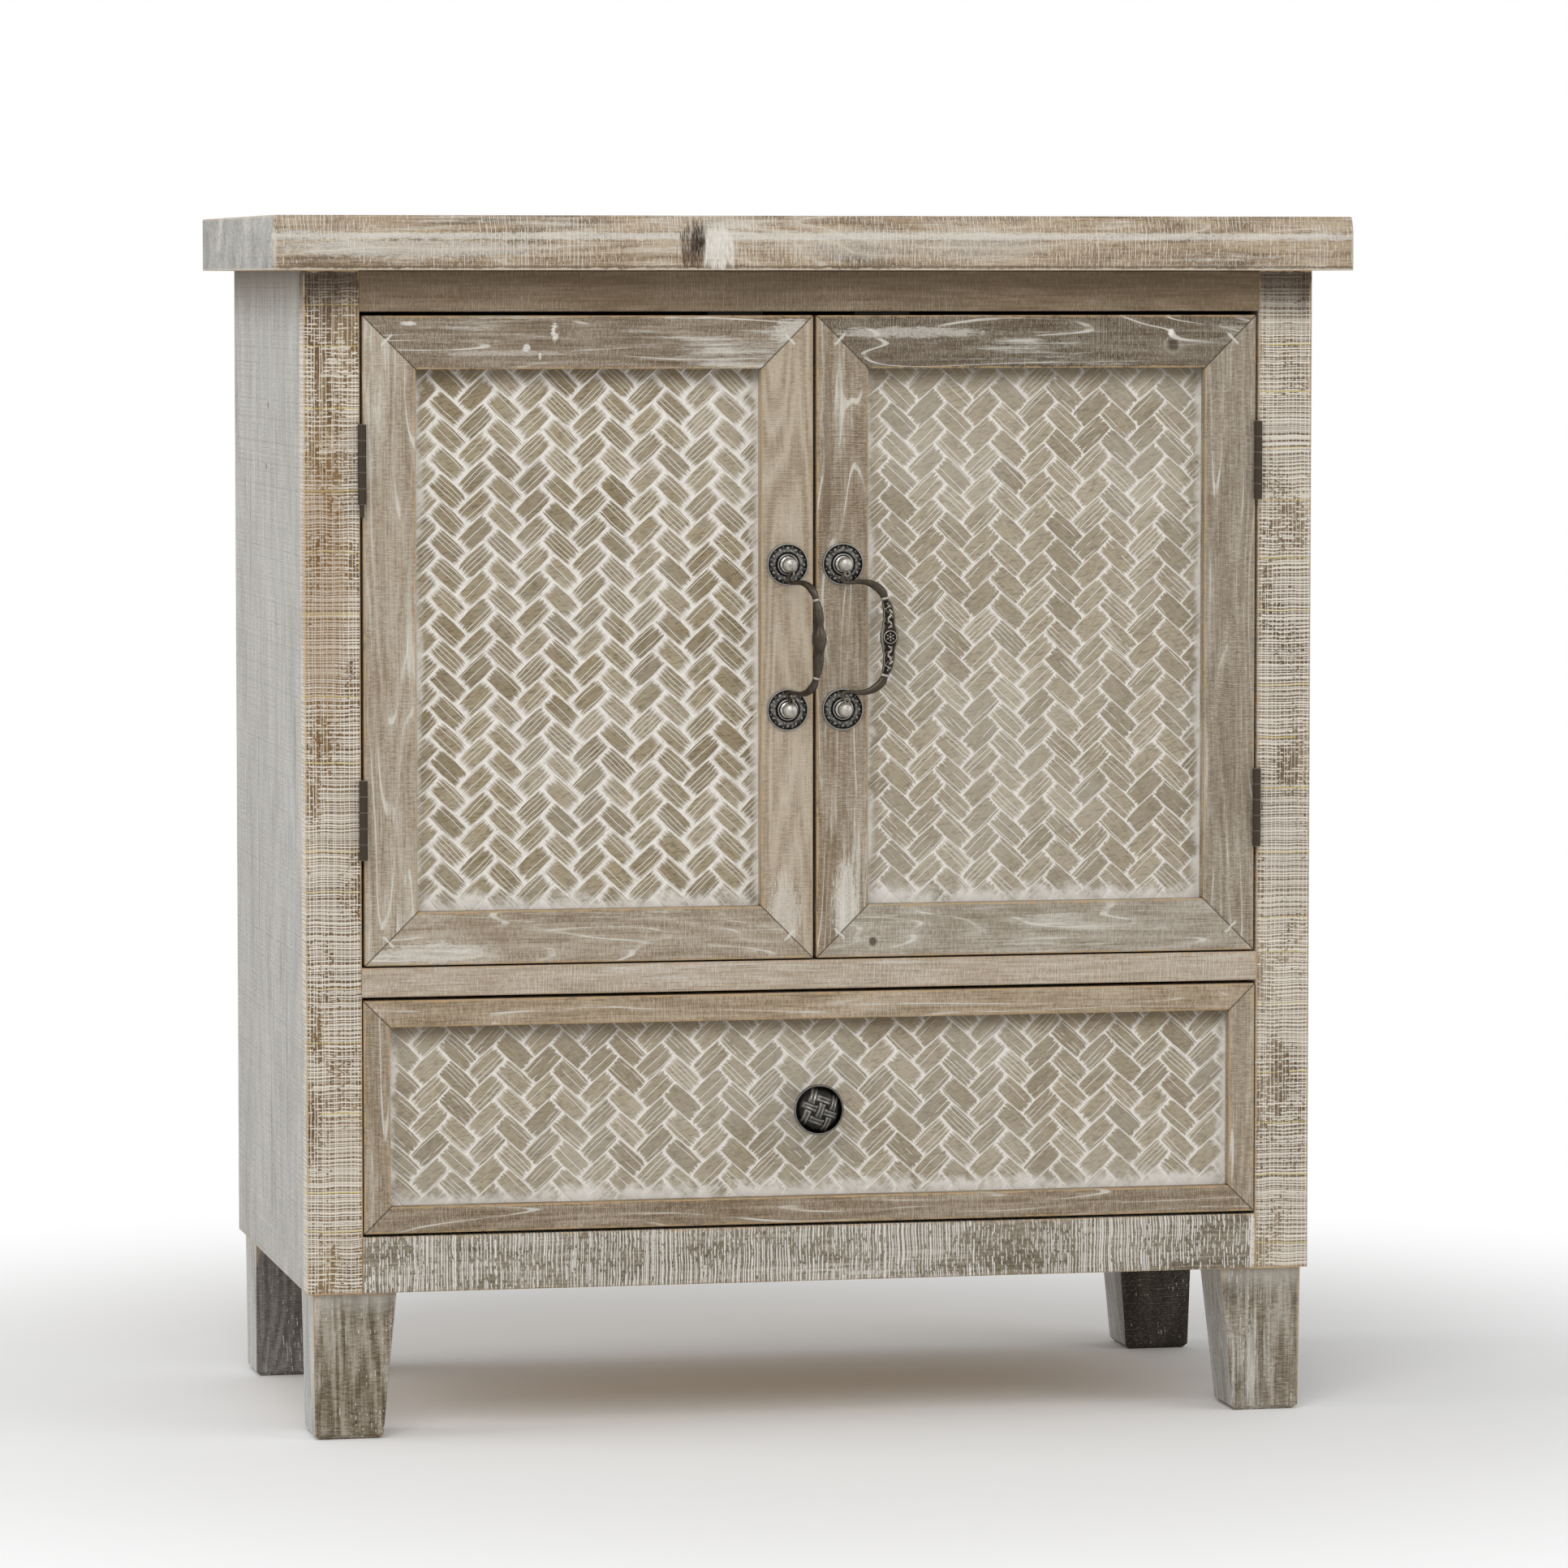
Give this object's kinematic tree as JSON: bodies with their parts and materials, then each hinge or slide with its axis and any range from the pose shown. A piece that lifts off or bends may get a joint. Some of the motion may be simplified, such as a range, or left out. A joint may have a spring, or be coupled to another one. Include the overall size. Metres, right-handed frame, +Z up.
{
  "type": "wooden cabinet",
  "caption": "Rustic whitewashed wooden cabinet: carved herringbone doors with bail handles over a carved drawer, under a thick top on tapered legs.",
  "frame": {"origin": "on the floor, in the middle of the width and depth of the box round the whole cabinet, handles included", "axes": "+X to the right across the front, +Y to the back, +Z up; the front faces -Y"},
  "size_m": [0.7, 0.3726, 0.777],
  "materials": {
    "top_wood": "wire-brushed and whitewashed pine",
    "side_wood": "weathered grey whitewashed pine",
    "frame_wood": "rough-sawn whitewashed pine",
    "leg_wood": "weathered brown-grey pine",
    "door_wood": "brushed whitewashed pine",
    "carved_wood": "carved herringbone with white grooves",
    "inner_wood": "plain pine",
    "thin_ply": "plain plywood",
    "hinge_bronze": "dark bronze",
    "old_pewter": "rubbed antique pewter",
    "plain_steel": "plain zinc"
  },
  "bodies": {
    "carcass": {"top_board": "top_wood", "top_cleats": "inner_wood", "left_stile": "frame_wood", "right_stile": "frame_wood", "top_rail": "frame_wood", "mid_rail": "frame_wood", "bottom_rail": "frame_wood", "left_side_panel": "side_wood", "right_side_panel": "side_wood", "back_panel": "thin_ply", "bottom_panel": "inner_wood", "bay_floor": "inner_wood", "shelf": "inner_wood", "shelf_pegs": "inner_wood", "front_left_leg": "leg_wood", "front_right_leg": "leg_wood", "back_left_leg": "leg_wood", "back_right_leg": "leg_wood", "corner_blocks": "inner_wood", "leg_bolts": "plain_steel", "drawer_runners": "inner_wood", "door_catches": "plain_steel", "left_hinge_frame_leaves": "hinge_bronze", "right_hinge_frame_leaves": "hinge_bronze", "hinge_pins": "hinge_bronze"},
    "left_door": {"left_hinge_door_leaves": "hinge_bronze", "left_door_strike": "plain_steel", "left_handle_rosettes": "old_pewter", "left_handle_posts": "old_pewter", "left_handle_nuts": "plain_steel", "left_door_bottom_member": "door_wood", "left_door_meeting_member": "door_wood", "left_door_top_member": "door_wood", "left_door_hinge_member": "door_wood", "left_door_panel": "carved_wood"},
    "right_door": {"right_hinge_door_leaves": "hinge_bronze", "right_door_strike": "plain_steel", "right_handle_rosettes": "old_pewter", "right_handle_posts": "old_pewter", "right_handle_nuts": "plain_steel", "right_door_bottom_member": "door_wood", "right_door_meeting_member": "door_wood", "right_door_top_member": "door_wood", "right_door_hinge_member": "door_wood", "right_door_panel": "carved_wood"},
    "drawer": {"drawer_front_bottom_member": "door_wood", "drawer_front_right_member": "door_wood", "drawer_front_top_member": "door_wood", "drawer_front_left_member": "door_wood", "drawer_front_panel": "carved_wood", "drawer_box_front": "inner_wood", "drawer_box_left_side": "inner_wood", "drawer_box_right_side": "inner_wood", "drawer_box_back": "inner_wood", "drawer_box_bottom": "thin_ply", "knob": "old_pewter", "knob_screw": "plain_steel"},
    "left_bail": {"left_bail": "old_pewter"},
    "right_bail": {"right_bail": "old_pewter"}
  },
  "joints": [
    {"name": "left_door_hinge", "type": "hinge", "parent": "carcass", "child": "left_door", "pos_m": [-0.29225, -0.14863, 0.3026], "axis": [0, 0, -1], "range_deg": [0, 170]},
    {"name": "right_door_hinge", "type": "hinge", "parent": "carcass", "child": "right_door", "pos_m": [0.29225, -0.14863, 0.3026], "axis": [0, 0, 1], "range_deg": [0, 170]},
    {"name": "drawer_slide", "type": "slide", "parent": "carcass", "child": "drawer", "axis": [0, -1, 0], "range_m": [0, 0.24]},
    {"name": "left_bail_swing", "type": "hinge", "parent": "left_door", "child": "left_bail", "pos_m": [-0.01805, -0.15533, 0.5087], "axis": [0, 0, 1], "range_deg": [-118, 62]},
    {"name": "right_bail_swing", "type": "hinge", "parent": "right_door", "child": "right_bail", "pos_m": [0.01805, -0.15533, 0.5087], "axis": [0, 0, 1], "range_deg": [-115, 0]}
  ]
}
